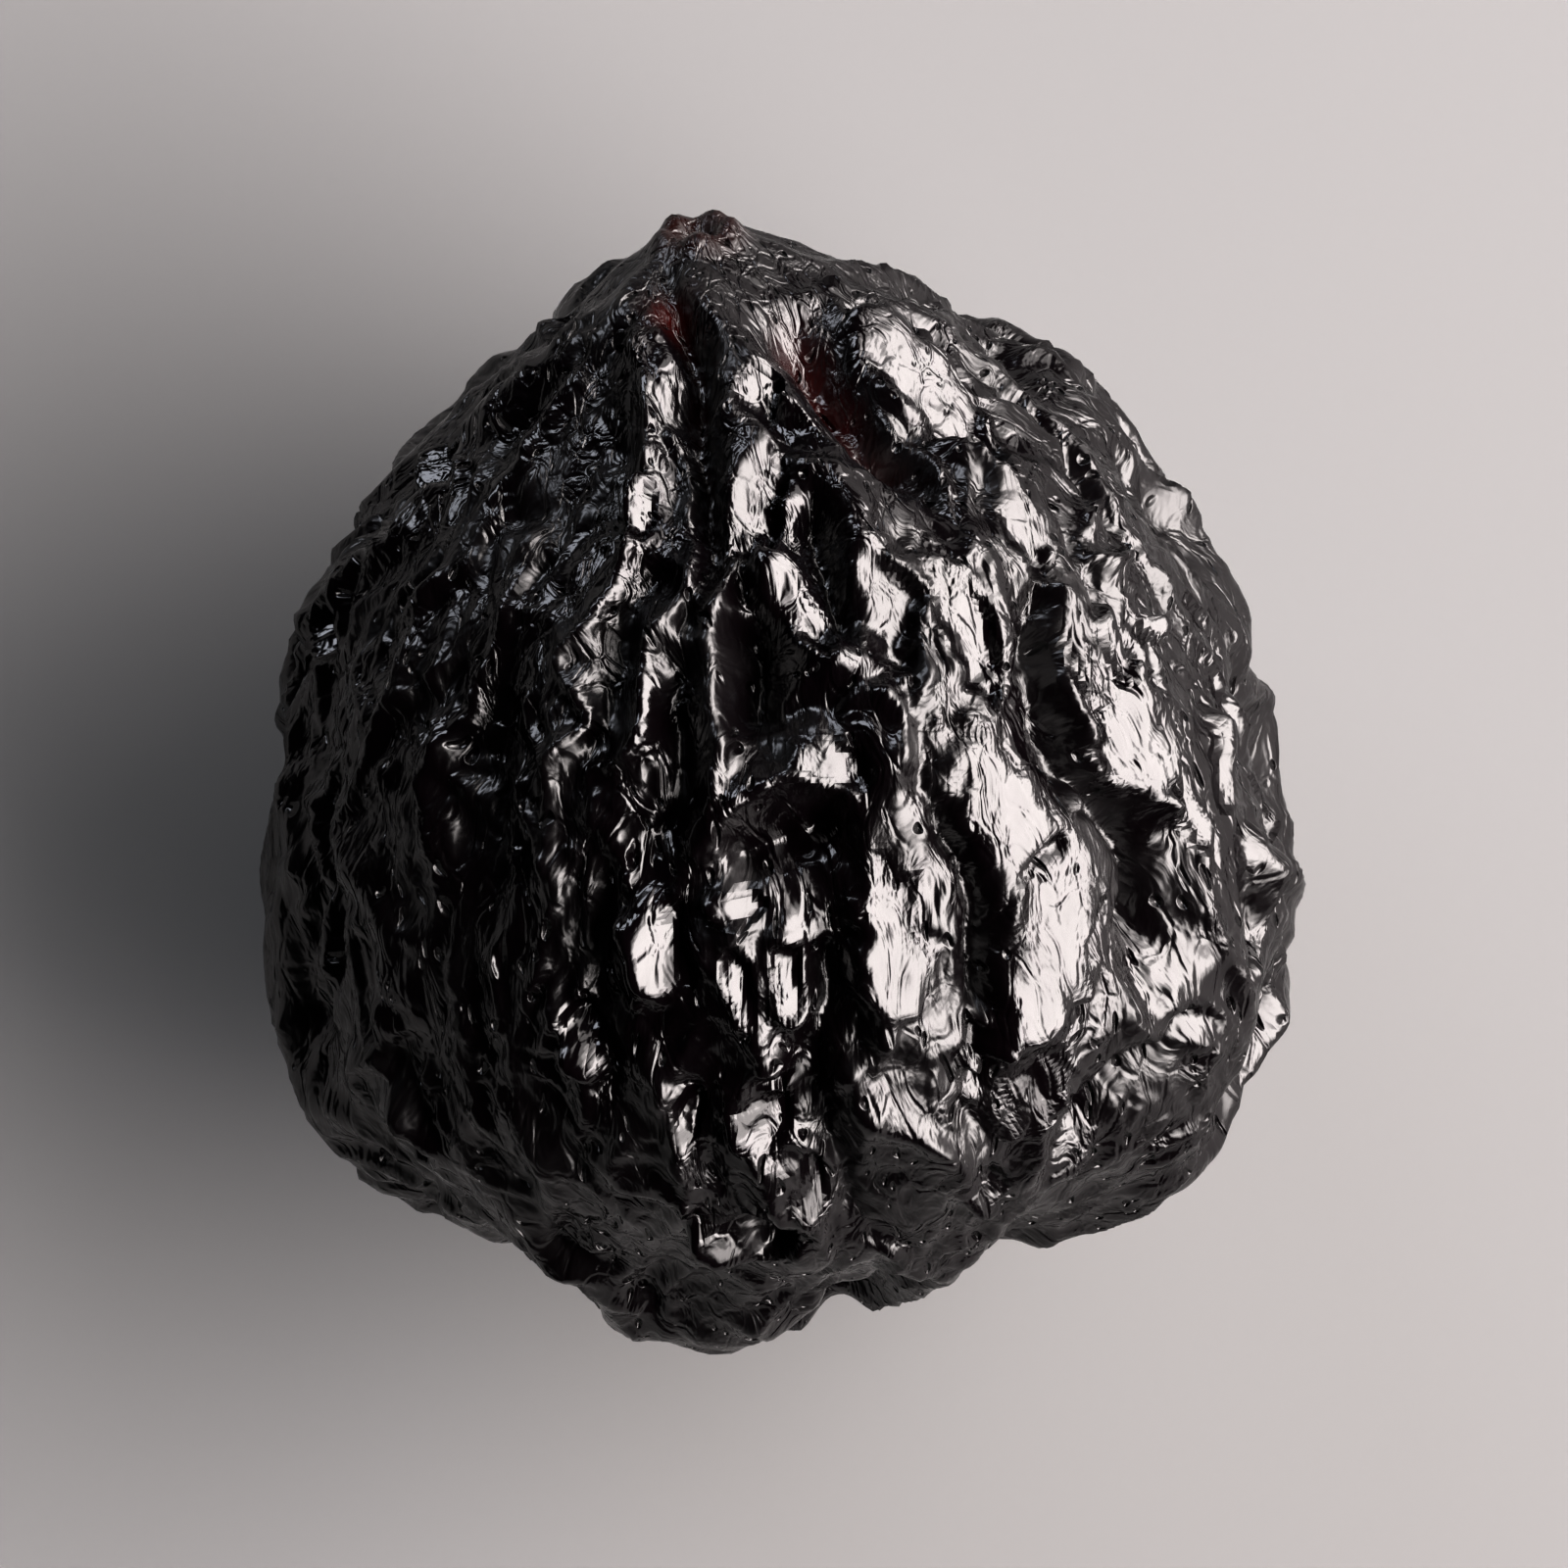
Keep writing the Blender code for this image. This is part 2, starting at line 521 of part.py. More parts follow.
def berry_points(directions):
    """The surface points for the given directions, in millimetres, resting on z = 0."""
    angle = angle_from_tip(directions)
    radius = smooth_radius(directions) + fold_relief(directions, angle)
    radius += calyx_relief(directions, angle) + scar_relief(angle)
    points = directions * radius[:, None]
    points[:, 2] = np.maximum(points[:, 2], points[:, 2].min() + FOOT_DEPTH)
    low = points.min(axis=0)
    high = points.max(axis=0)
    points = (points - (low + high) / 2) * np.array([BERRY_WIDTH, BERRY_LENGTH, BERRY_HEIGHT])
    points /= high - low
    points[:, 2] -= points[:, 2].min()
    return points


def skin_material():
    material = bpy.data.materials.new("dried_berry_skin")
    material.use_nodes = True
    skin = material.node_tree.nodes["Principled BSDF"]
    skin.inputs["Base Color"].default_value = SKIN_COLOUR
    skin.inputs["Roughness"].default_value = SKIN_ROUGHNESS
    skin.inputs["Metallic"].default_value = 0.0
    return material


def add_berry():
    """The berry's fine surface, thinned to fewer triangles where it is even."""
    directions, quads = cube_sphere(DIVISIONS)
    points = berry_points(directions) * MM
    fine = bpy.data.meshes.new("berry_fine")
    fine.from_pydata(points.tolist(), [], quads)
    berry = bpy.data.objects.new("berry", fine)
    bpy.context.scene.collection.objects.link(berry)

    thin = berry.modifiers.new("Thin", "DECIMATE")
    thin.ratio = FACE_SHARE
    thin.use_collapse_triangulate = True
    evaluated = berry.evaluated_get(bpy.context.evaluated_depsgraph_get())
    skin = bpy.data.meshes.new_from_object(evaluated)
    berry.modifiers.clear()
    berry.data = skin
    bpy.data.meshes.remove(fine)

    skin.name = "berry"
    for vertex in skin.vertices:
        if vertex.co.z < FOOT_LEVELLING * MM:
            vertex.co.z = 0.0
    skin.shade_smooth()
    skin.materials.clear()
    skin.materials.append(skin_material())
    return berry


def main():
    for old in list(bpy.data.objects):
        bpy.data.objects.remove(old)
    add_berry()


if __name__ == "__main__":
    main()
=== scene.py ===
import math

import bpy
import numpy as np
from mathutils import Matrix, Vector, noise


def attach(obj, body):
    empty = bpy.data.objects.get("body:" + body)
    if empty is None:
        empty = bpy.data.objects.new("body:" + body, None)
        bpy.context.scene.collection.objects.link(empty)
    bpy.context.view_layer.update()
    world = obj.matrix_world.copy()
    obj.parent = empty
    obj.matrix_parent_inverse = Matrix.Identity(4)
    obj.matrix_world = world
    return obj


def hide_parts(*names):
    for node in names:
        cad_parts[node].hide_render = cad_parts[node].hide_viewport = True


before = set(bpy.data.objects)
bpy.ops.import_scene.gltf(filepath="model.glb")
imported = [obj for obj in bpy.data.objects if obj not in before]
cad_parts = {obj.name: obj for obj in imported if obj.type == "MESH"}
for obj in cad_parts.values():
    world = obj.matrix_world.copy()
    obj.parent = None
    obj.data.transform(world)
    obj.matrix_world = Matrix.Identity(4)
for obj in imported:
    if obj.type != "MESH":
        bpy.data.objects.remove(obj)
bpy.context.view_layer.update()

bpy.ops.object.select_all(action="DESELECT")
print("frame loaded")

mm = 0.001


# Small helpers for shapes, materials and lights

def unit(vectors):
    return vectors / np.linalg.norm(vectors, axis=-1, keepdims=True)


def linearColour(hexText):
    channels = [int(hexText[i:i + 2], 16) / 255 for i in (1, 3, 5)]
    linear = [c / 12.92 if c <= 0.04045 else ((c + 0.055) / 1.055) ** 2.4 for c in channels]
    return (*linear, 1.0)


def addNode(tree, kind, inputs=None, **settings):
    # inputs are values or the sockets to link from
    node = tree.nodes.new(kind)
    for name, value in settings.items():
        setattr(node, name, value)
    for name, value in (inputs or {}).items():
        if isinstance(value, bpy.types.NodeSocket):
            tree.links.new(value, node.inputs[name])
        else:
            node.inputs[name].default_value = value
    return node


# The berry's form: a smooth outline with folds, all lengths in mm, all angles in degrees

berry = {
    "width": 9.1, "length": 9.9, "height": 8.1,
    "meanRadius": 4.5,              # turns angles into lengths
    "tipLean": 9, "tipRise": 22,    # of the tip, to the left of +Y and above the level
    # angle from the tip, radius
    "outline": [(0, 5.35), (12, 4.75), (30, 4.22), (48, 4.20), (65, 4.22), (90, 4.35),
                (115, 4.60), (145, 4.70), (180, 4.55)],
    "outlineRounding": 6, "outlineStep": 0.25, "outlineMargin": 60, "outlineKernel": 20,
    "readingRounds": 8,             # how often a place in plan is read off the form
    # turn in plan, rise, spread, height
    "swellings": [(-137, 0, 17.5, 0.38), (-30, 0, 16.0, 0.34), (15, 10, 15.0, -0.26),
                  (-68, -5, 10.0, -0.20), (160, 10, 15.5, 0.10), (104, 0, 7.5, 0.12),
                  (-98, 0, 9.0, 0.15)],
    "cubeCuts": 63,                 # 2 x (63 + 1) squares along each side of the start cube
    "tallestFold": 0.34,
    # the flat spot that the berry lies on, with its folds pressed down
    "footDepth": 0.30, "footSpread": 24, "footFoldShare": 0.25,
}


def tipAxes():
    lean = math.radians(berry["tipLean"])
    rise = math.radians(berry["tipRise"])
    level = math.cos(rise)
    tip = np.array([-math.sin(lean) * level, math.cos(lean) * level, math.sin(rise)])
    over = unit(np.array([0.0, 0.0, 1.0]) - tip * tip[2])
    return tip, over, np.cross(tip, over)


tip, over, across = tipAxes()


def fromTip(angle, turn):
    ring = math.cos(turn) * over + math.sin(turn) * across
    return math.cos(angle) * tip + math.sin(angle) * ring


# Smooth drift that keeps the folds from being regular: scale and seed of four sizes, then the
# share of each size that bends the rings, the drawn lines, the small and the fine pockets
drifts = {
    "sizes": [(1.7, 1), (4.5, 2), (9.0, 3), (22.0, 4)],
    "ring": (0.16, 0.05, 0, 0), "line": (0, 0.02, 0.012, 0.006),
    "small": (0.10, 0.06, 0.03, 0), "fine": (0.10, 0.06, 0.03, 0.012),
    "tipShare": 0.15, "tipSpread": 16,
}


def drift(directions, scale, seed):
    noise.seed_set(seed)
    return np.array([noise.noise_vector(Vector(d) * scale) for d in directions])


def drifted(directions, moves, shares):
    return unit(directions + sum(share * move for share, move in zip(shares, moves)))


def outlineRadius(angle):
    # the corners between the listed radii are rounded off
    step = berry["outlineStep"]
    margin = berry["outlineMargin"]
    at = np.arange(-margin, 180 + margin + step, step)
    mirrored = np.where(at < 0, -at, np.where(at > 180, 360 - at, at))
    radius = np.interp(mirrored, [p[0] for p in berry["outline"]], [p[1] for p in berry["outline"]])
    kernelAt = np.arange(-berry["outlineKernel"], berry["outlineKernel"] + step, step)
    kernel = np.exp(-0.5 * (kernelAt / berry["outlineRounding"]) ** 2)
    return np.interp(angle, at, np.convolve(radius, kernel / kernel.sum(), mode="same"))


def swellingRelief(directions):
    relief = np.zeros(len(directions))
    for turn, rise, spread, height in berry["swellings"]:
        turn = math.radians(turn)
        rise = math.radians(rise)
        level = math.cos(rise)
        centre = np.array([math.cos(turn) * level, math.sin(turn) * level, math.sin(rise)])
        away = np.degrees(np.arccos(np.clip(directions @ centre, -1, 1)))
        relief += height * np.exp(-0.5 * (away / spread) ** 2)
    return relief


def smoothRadius(directions):
    angle = np.degrees(np.arccos(np.clip(directions @ tip, -1, 1)))
    return outlineRadius(angle) + swellingRelief(directions)


def planDirection(plan):
    # direction of the point of the upper side that lies at (x, y) in plan
    radius = np.full(len(plan), berry["meanRadius"])
    for _ in range(berry["readingRounds"]):
        height = np.sqrt(np.maximum(radius**2 - (plan**2).sum(axis=1), 0))
        directions = unit(np.column_stack([plan, height]))
        radius = smoothRadius(directions)
    return directions


# Sharp ridges drawn over the upper side: points (x, y) in plan, height, half width
ridgeLines = [
    ([(-0.9, 4.6), (-1.6, 3.9), (-2.6, 2.9), (-3.2, 2.2), (-4.2, 1.1), (-4.5, 0.3)], 0.26, 0.22),
    ([(-1.0, 4.4), (-1.7, 3.5), (-2.3, 2.6), (-3.0, 1.6), (-3.4, 0.6), (-3.8, -0.4)], 0.22, 0.16),
    ([(-0.95, 4.3), (-1.25, 3.7), (-1.15, 3.1), (-1.2, 2.5), (-1.3, 1.9), (-1.6, 1.35), (-1.9, 0.95),
      (-1.65, 0.45), (-1.95, 0.1), (-2.05, -0.2), (-2.1, -0.8)], 0.26, 0.075),
    ([(-1.1, 3.0), (-0.85, 2.8), (-0.75, 2.3), (-0.7, 1.9), (-0.9, 1.4), (-1.15, 1.1), (-1.2, 0.5),
      (-1.4, 0.15), (-1.75, 0.0)], 0.26, 0.075),
    ([(-0.75, 4.5), (-0.5, 3.7), (-0.35, 2.8), (-0.35, 2.1), (-0.25, 1.7)], 0.36, 0.24),
    ([(-0.35, 1.9), (-0.6, 1.2), (-0.58, 0.6), (-0.5, 0.1), (-0.6, -0.3), (-0.85, -0.6)], 0.32, 0.12),
    ([(-0.15, 1.9), (0.1, 1.4), (0.3, 1.0), (0.65, 0.8)], 0.32, 0.18),
    ([(-0.7, 4.4), (-0.25, 3.4), (0.25, 2.7), (0.55, 2.3), (0.75, 1.6), (1.1, 0.9)], 0.32, 0.22),
    ([(0.5, 3.95), (0.95, 3.3), (1.5, 2.9), (1.8, 2.6), (2.1, 2.3), (2.2, 1.8), (2.5, 1.6)], 0.24, 0.09),
    ([(0.85, 3.25), (1.05, 2.95), (1.3, 2.7), (1.5, 2.35)], 0.24, 0.07),
    ([(2.5, 1.7), (2.6, 0.7), (3.0, 0.0), (3.65, -0.4), (3.75, -1.3), (4.1, -1.9)], 0.20, 0.09),
    ([(2.62, 2.05), (2.72, 2.26), (2.93, 2.26), (3.03, 2.05), (2.93, 1.84), (2.72, 1.84), (2.62, 2.05)],
     0.22, 0.07),
    ([(0.3, 4.45), (1.6, 4.0), (2.5, 3.5), (3.3, 2.9), (3.9, 2.1), (4.3, 1.2)], 0.26, 0.18),
    ([(0.3, 4.3), (1.1, 3.9), (2.0, 3.3), (2.65, 2.7), (3.1, 2.0), (3.6, 1.2), (4.1, 0.4)], 0.24, 0.16),
    ([(-0.8, -0.7), (-0.4, -0.3), (0.15, -0.05), (0.7, 0.0), (1.05, 0.3), (0.95, 0.6), (0.6, 0.75)],
     0.30, 0.16),
    ([(-2.2, 2.0), (-2.7, 0.6), (-3.1, -0.1), (-3.0, -1.1)], 0.22, 0.15),
    ([(-0.5, -1.2), (-0.4, -1.6), (-0.35, -2.1), (-0.2, -2.6), (-0.25, -3.2), (0.2, -4.3)], 0.22, 0.14),
    ([(0.0, -1.3), (0.05, -1.8), (0.15, -2.3)], 0.20, 0.12),
    ([(0.5, -2.4), (0.7, -2.9), (1.3, -3.3), (1.8, -3.7)], 0.22, 0.18),
    ([(-2.1, -0.7), (-2.1, -1.5), (-2.3, -2.8), (-1.9, -3.9)], 0.14, 0.14),
    ([(-3.9, -0.4), (-3.4, -1.4), (-3.5, -2.5), (-3.0, -3.4)], 0.22, 0.18),
    ([(-1.2, -2.2), (-1.0, -2.9), (-0.8, -3.9)], 0.20, 0.16),
    ([(3.1, -1.9), (3.3, -2.3), (3.8, -2.4)], 0.16, 0.12),
]

# Rounded swellings drawn over the upper side: points (x, y) in plan, height, half width
swellLines = [
    ([(-1.7, -2.0), (-1.7, -2.6)], 0.18, 0.20),
    ([(1.3, 2.1), (1.9, 0.8)], 0.10, 0.40),
]

# Grooves drawn over the upper side: points (x, y) in plan, depth, half width
grooveLines = [
    ([(-0.1, 4.2), (0.2, 3.8), (0.5, 3.3), (0.8, 2.9), (1.3, 2.5)], 0.50, 0.26),
    ([(-0.9, 4.3), (-0.75, 3.6), (-0.7, 3.0), (-0.62, 2.3), (-0.6, 1.7)], 0.42, 0.14),
    ([(-0.2, 1.4), (-0.2, 0.9), (-0.15, 0.3)], 0.60, 0.24),
    ([(0.25, 2.3), (0.4, 1.7), (0.55, 1.1)], 0.42, 0.13),
    ([(2.3, 1.7), (2.35, 1.0), (2.5, 0.4), (2.85, -0.2), (3.3, -0.7), (3.35, -1.3), (3.3, -1.9)],
     0.55, 0.24),
    ([(-0.5, -0.85), (0.05, -0.7), (0.6, -0.5)], 0.45, 0.24),
    ([(1.35, -0.2), (1.6, -0.8), (1.8, -1.5), (1.8, -2.4), (1.65, -3.0)], 0.36, 0.13),
    ([(2.55, -0.6), (2.3, -0.8), (2.1, -1.0)], 0.20, 0.10),
    ([(-1.0, 1.9), (-1.3, 1.35), (-1.45, 0.7), (-1.8, 0.0)], 0.16, 0.12),
    ([(-0.75, 1.2), (-0.95, 0.4), (-0.9, -0.3), (-1.3, -0.8)], 0.24, 0.18),
    ([(-1.7, 2.8), (-2.1, 1.9), (-2.5, 0.9), (-2.6, -0.1), (-2.5, -1.4)], 0.22, 0.26),
    ([(2.4, 2.4), (2.8, 1.6), (3.3, 0.7), (3.55, 0.0)], 0.20, 0.10),
    ([(0.55, 0.65), (0.95, 0.8), (1.2, 0.35), (1.2, -0.3)], 0.20, 0.07),
    ([(1.4, 3.7), (2.2, 3.1), (2.8, 2.4), (3.4, 1.5), (3.9, 0.7)], 0.24, 0.14),
    ([(-1.5, -0.9), (-1.6, -1.8), (-1.4, -2.8)], 0.16, 0.16),
    ([(0.4, -1.3), (0.4, -2.1), (0.3, -2.8), (0.8, -4.1)], 0.24, 0.18),
    ([(2.4, -3.4), (3.1, -2.7), (3.7, -2.1)], 0.26, 0.16),
]
lineShape = {
    "step": 0.06,
    "endShare": 0.35, "endRun": 1 / 6, "endNarrowing": 0.3,     # how a line runs out at its ends
    "crestRounding": 0.35, "swellRounding": 3.0,                # a low one gives a sharp crest
}


def smoothLine(points):
    # close points along a smooth curve through the drawn ones
    points = [np.array(point) for point in points]
    points = [2 * points[0] - points[1]] + points + [2 * points[-1] - points[-2]]
    line = []
    for a, b, c, d in zip(points, points[1:], points[2:], points[3:]):
        count = max(2, int(np.linalg.norm(c - b) / lineShape["step"]))
        for k in range(count):
            t = k / count
            square = (2 * a - 5 * b + 4 * c - d) * t**2
            cube = (3 * b - a - 3 * c + d) * t**3
            line.append(0.5 * (2 * b + (c - a) * t + square + cube))
    line.append(points[-2])
    return np.array(line)


def lineRelief(directions, lines, rounding):
    # pinched rolls along the drawn lines, thinner and lower towards their ends
    relief = np.zeros(len(directions))
    for points, height, halfWidth in lines:
        line = planDirection(smoothLine(points))
        closest = np.full(len(directions), -1.0)
        place = np.zeros(len(directions))
        for index, point in enumerate(line):
            cosine = directions @ point
            nearer = cosine > closest
            closest[nearer] = cosine[nearer]
            place[nearer] = index / (len(line) - 1)
        away = np.sqrt(np.maximum(2 - 2 * closest, 0)) * berry["meanRadius"]
        end = np.minimum(np.minimum(place, 1 - place) / lineShape["endRun"], 1)
        fullness = lineShape["endShare"] + (1 - lineShape["endShare"]) * end
        width = halfWidth * (1 - lineShape["endNarrowing"] * (1 - fullness))
        pinch = np.exp(rounding - np.sqrt((away / width) ** 2 + rounding**2))
        relief = np.maximum(relief, height * fullness * pinch)
    return relief


# Flat patches of skin drawn over the upper side: x and y in plan, half length, half width, turn of
# the long axis from +Y to +X, the way the patch faces, its tilt, height over the smooth form
facets = [
    (1.25, 3.36, 0.90, 0.40, -43, 28, 36, 0.04),
    (2.12, 2.98, 0.50, 0.32, -43, 56, 38, 0.02),
    (2.15, 2.12, 0.48, 0.24, -14, 18, 34, 0.06),
    (0.15, 2.82, 0.45, 0.23, -45, 118, 31, 0.12),
    (-0.20, 3.20, 0.22, 0.20, 0, 8, 32, 0.12),
    (-0.28, 2.35, 0.70, 0.25, -2, -5, 31, 0.16),
    (0.08, 1.45, 0.58, 0.21, -33, 8, 30, 0.14),
    (0.85, 1.45, 0.62, 0.32, -8, 0, 29, 0.04),
    (1.62, 1.30, 0.62, 0.28, -22, -4, 29, 0.00),
    (2.62, 1.15, 0.58, 0.14, -5, 5, 34, 0.08),
    (2.98, 1.00, 0.42, 0.11, -4, 5, 34, 0.06),
    (3.20, 0.32, 0.58, 0.44, -30, 0, 35, 0.06),
    (3.30, 1.25, 0.13, 0.18, 0, 0, 32, 0.06),
    (3.65, -0.35, 0.42, 0.14, -35, 0, 34, 0.06),
    (3.86, 0.15, 0.50, 0.18, 4, -3, 36, 0.12),
    (1.93, -0.35, 0.82, 0.42, -27, -4, 28, 0.06),
    (2.38, -1.52, 1.06, 0.47, 18, -12, 32, 0.08),
    (2.25, -2.80, 0.44, 0.38, 8, -46, 37, 0.04),
    (0.93, -1.47, 0.90, 0.31, 0, -5, 30, 0.14),
    (-0.40, -1.20, 0.14, 0.30, 0, -5, 29, 0.10),
    (-0.37, -1.80, 0.34, 0.14, -8, 0, 30, 0.10),
    (0.05, -1.92, 0.40, 0.13, -6, 0, 30, 0.10),
    (-1.05, -1.50, 0.48, 0.30, -4, -5, 30, 0.16),
    (-1.70, -2.30, 0.36, 0.19, 0, 100, 22, 0.10),
    (0.45, 0.03, 0.20, 0.40, 12, 0, 30, 0.10),
    (-0.20, -3.00, 0.38, 0.28, -10, -28, 34, 0.05),
    (-0.82, -3.02, 0.30, 0.10, 10, -20, 34, 0.05),
    (-0.32, -4.05, 0.28, 0.44, 0, -36, 40, 0.0),
    (0.28, -3.70, 0.34, 0.17, -5, -32, 37, 0.04),
    (1.80, -3.62, 0.28, 0.22, -20, -36, 38, 0.02),
    (-1.20, 2.20, 0.24, 0.15, 0, -5, 31, 0.12),
    (-2.98, 2.60, 0.30, 0.25, 0, 125, 32, 0.04),
    (-4.00, 1.15, 0.28, 0.20, 10, 125, 34, 0.0),
    (-2.00, 3.80, 0.12, 0.18, 0, 120, 34, 0.04),
    (4.20, -1.15, 0.55, 0.22, -10, -46, 38, 0.04),
]
facetShape = {
    "rim": 4.0,                     # how sharply a patch ends
    "jag": (0.5, 0.7),              # how ragged its edge is, in two sizes
    "smallestRim": 0.5,
    "reach": 2.0,                   # how far out it is worked out, in half lengths
    "heights": (-0.40, 0.34),       # a patch stays between these over the smooth form
    "calm": 0.6,                    # share of the small relief that a patch smooths away
}


def facetRelief(directions, relief, rim):
    # inside its ragged oval a facet's plane takes the relief's place
    smooth = smoothRadius(directions)
    cover = np.zeros(len(directions))
    for x, y, halfLength, halfWidth, turn, facing, tilt, height in facets:
        centre = planDirection(np.array([[x, y]]))
        radius = smoothRadius(centre)[0] + height
        centre = centre[0]
        turn, facing, tilt = np.radians((turn, facing, tilt))
        along = np.array([math.sin(turn), math.cos(turn), 0.0])
        along = unit(along - centre * (along @ centre))
        aside = np.cross(centre, along)
        normal = np.array([math.cos(facing) * math.sin(tilt), math.sin(facing) * math.sin(tilt),
                           math.cos(tilt)])
        reach = facetShape["reach"] * halfLength / berry["meanRadius"]
        near = np.flatnonzero(directions @ centre > 1 - reach**2 / 2)
        offset = (directions[near] - centre) * berry["meanRadius"]
        oval = (offset @ along / halfLength) ** 2 + (offset @ aside / halfWidth) ** 2
        share = np.exp(-((oval * np.maximum(rim[near], facetShape["smallestRim"])) ** facetShape["rim"]))
        plane = radius * (centre @ normal) / (directions[near] @ normal) - smooth[near]
        plane = np.clip(plane, *facetShape["heights"])
        relief[near] += share * (plane - relief[near])
        cover[near] = np.maximum(cover[near], share)
    return relief, cover


# Long pockets in rings round the tip: angle from it, count, half length and width
pocketRings = [
    (15, 9, 0.90, 0.26), (36, 13, 0.95, 0.42), (56, 17, 1.00, 0.45), (76, 19, 1.00, 0.48),
    (96, 20, 1.00, 0.48), (116, 18, 0.90, 0.48), (136, 14, 0.85, 0.45), (154, 9, 0.75, 0.36),
    (170, 6, 0.50, 0.24),
]
# They are faint on the upper side, where the folds are drawn one by one
ringPocket = {"seed": 4, "depth": (0.15, 0.50), "sharpness": 8, "ceiling": 0.5,
              "topShare": 0.15, "topEdge": 0.12, "topBlend": 0.07,
              "angleJitter": 7, "placeJitter": 0.35, "length": (0.75, 1.25), "width": (0.8, 1.25),
              "twist": 25}
# Small pockets and fine ones are scattered all over
smallPocket = {"count": 900, "seed": 9, "halfLength": 0.42, "halfWidth": 0.17,
               "depth": (0.03, 0.13), "sharpness": 40, "ceiling": 0.2, "topShare": 0.5,
               "rightEase": 0.3}
finePocket = {"count": 3600, "seed": 21, "halfLength": 0.22, "halfWidth": 0.085,
              "depth": (0.01, 0.035), "sharpness": 110, "ceiling": 0.08}
scatter = {"jitter": 0.35, "size": (0.7, 1.3), "twist": 50}
pocketReach = 3.5                   # how far out a pocket is worked out, in half lengths


def ringPocketList():
    random = np.random.default_rng(ringPocket["seed"])
    pockets = []
    for angle, count, halfLength, halfWidth in pocketRings:
        for k in range(count):
            jitter = ringPocket["angleJitter"]
            fromAxis = math.radians(angle + random.uniform(-jitter, jitter))
            jitter = ringPocket["placeJitter"]
            turn = math.radians(360 * (k + random.uniform(-jitter, jitter)) / count)
            size = random.uniform(*ringPocket["length"])
            width = halfWidth * random.uniform(*ringPocket["width"])
            twist = math.radians(random.uniform(-ringPocket["twist"], ringPocket["twist"]))
            depth = random.uniform(*ringPocket["depth"])
            pockets.append((fromTip(fromAxis, turn), halfLength * size, width, twist, depth))
    return pockets


def scatteredPocketList(kind):
    # spread evenly by the golden angle and then jittered
    random = np.random.default_rng(kind["seed"])
    goldenAngle = math.pi * (3 - math.sqrt(5))
    pockets = []
    for i in range(kind["count"]):
        fromAxis = math.acos(1 - 2 * (i + 0.5) / kind["count"])
        centre = fromTip(fromAxis, i * goldenAngle)
        centre = unit(centre + random.normal(0, scatter["jitter"] / math.sqrt(kind["count"]), 3))
        halfLength = kind["halfLength"] * random.uniform(*scatter["size"])
        halfWidth = kind["halfWidth"] * random.uniform(*scatter["size"])
        twist = math.radians(random.uniform(-scatter["twist"], scatter["twist"]))
        pockets.append((centre, halfLength, halfWidth, twist, random.uniform(*kind["depth"])))
    return pockets


def pocketRelief(directions, pockets, kind):
    # a smooth minimum of bowls, which leaves ridges where two bowls meet
    sharpness = kind["sharpness"]
    total = np.full(len(directions), math.exp(-sharpness * kind["ceiling"]))
    for centre, halfLength, halfWidth, twist, depth in pockets:
        along = unit(tip - centre * (tip @ centre))
        aside = np.cross(centre, along)
        along, aside = (
            math.cos(twist) * along + math.sin(twist) * aside,
            math.cos(twist) * aside - math.sin(twist) * along,
        )
        reach = pocketReach * halfLength / berry["meanRadius"]
        near = np.flatnonzero(directions @ centre > 1 - reach**2 / 2)
        offset = (directions[near] - centre) * berry["meanRadius"]
        bowl = (offset @ along / halfLength) ** 2
        bowl += (offset @ aside / halfWidth) ** 2
        bowl += (offset @ centre / halfWidth) ** 2
        total[near] += np.exp(-sharpness * depth * (bowl - 1))
    return -np.log(total) / sharpness


# The withered calyx is a ring of lobes round a pit, the stem's scar a hollow round a small pad
calyx = {"radius": 0.27, "height": 0.13, "wall": 0.12, "lobes": 5, "lobeShare": 0.3,
         "pitRadius": 0.14, "pitDepth": 0.16}
stemScar = {"radius": 0.75, "depth": 0.55, "padRadius": 0.28, "padHeight": 0.22}


def calyxRelief(directions, angle):
    away = np.radians(angle) * berry["meanRadius"]
    turn = np.arctan2(directions @ across, directions @ over)
    lobes = 1 + calyx["lobeShare"] * np.cos(calyx["lobes"] * turn)
    ring = calyx["height"] * lobes * np.exp(-(((away - calyx["radius"]) / calyx["wall"]) ** 2))
    return ring - calyx["pitDepth"] * np.exp(-((away / calyx["pitRadius"]) ** 2))


def scarRelief(angle):
    away = np.radians(180 - angle) * berry["meanRadius"]
    pad = stemScar["padHeight"] * np.exp(-((away / stemScar["padRadius"]) ** 4))
    return pad - stemScar["depth"] * np.exp(-((away / stemScar["radius"]) ** 2))


# The folds are lower at the tip
tipFold = {"share": 0.3, "spread": 10}


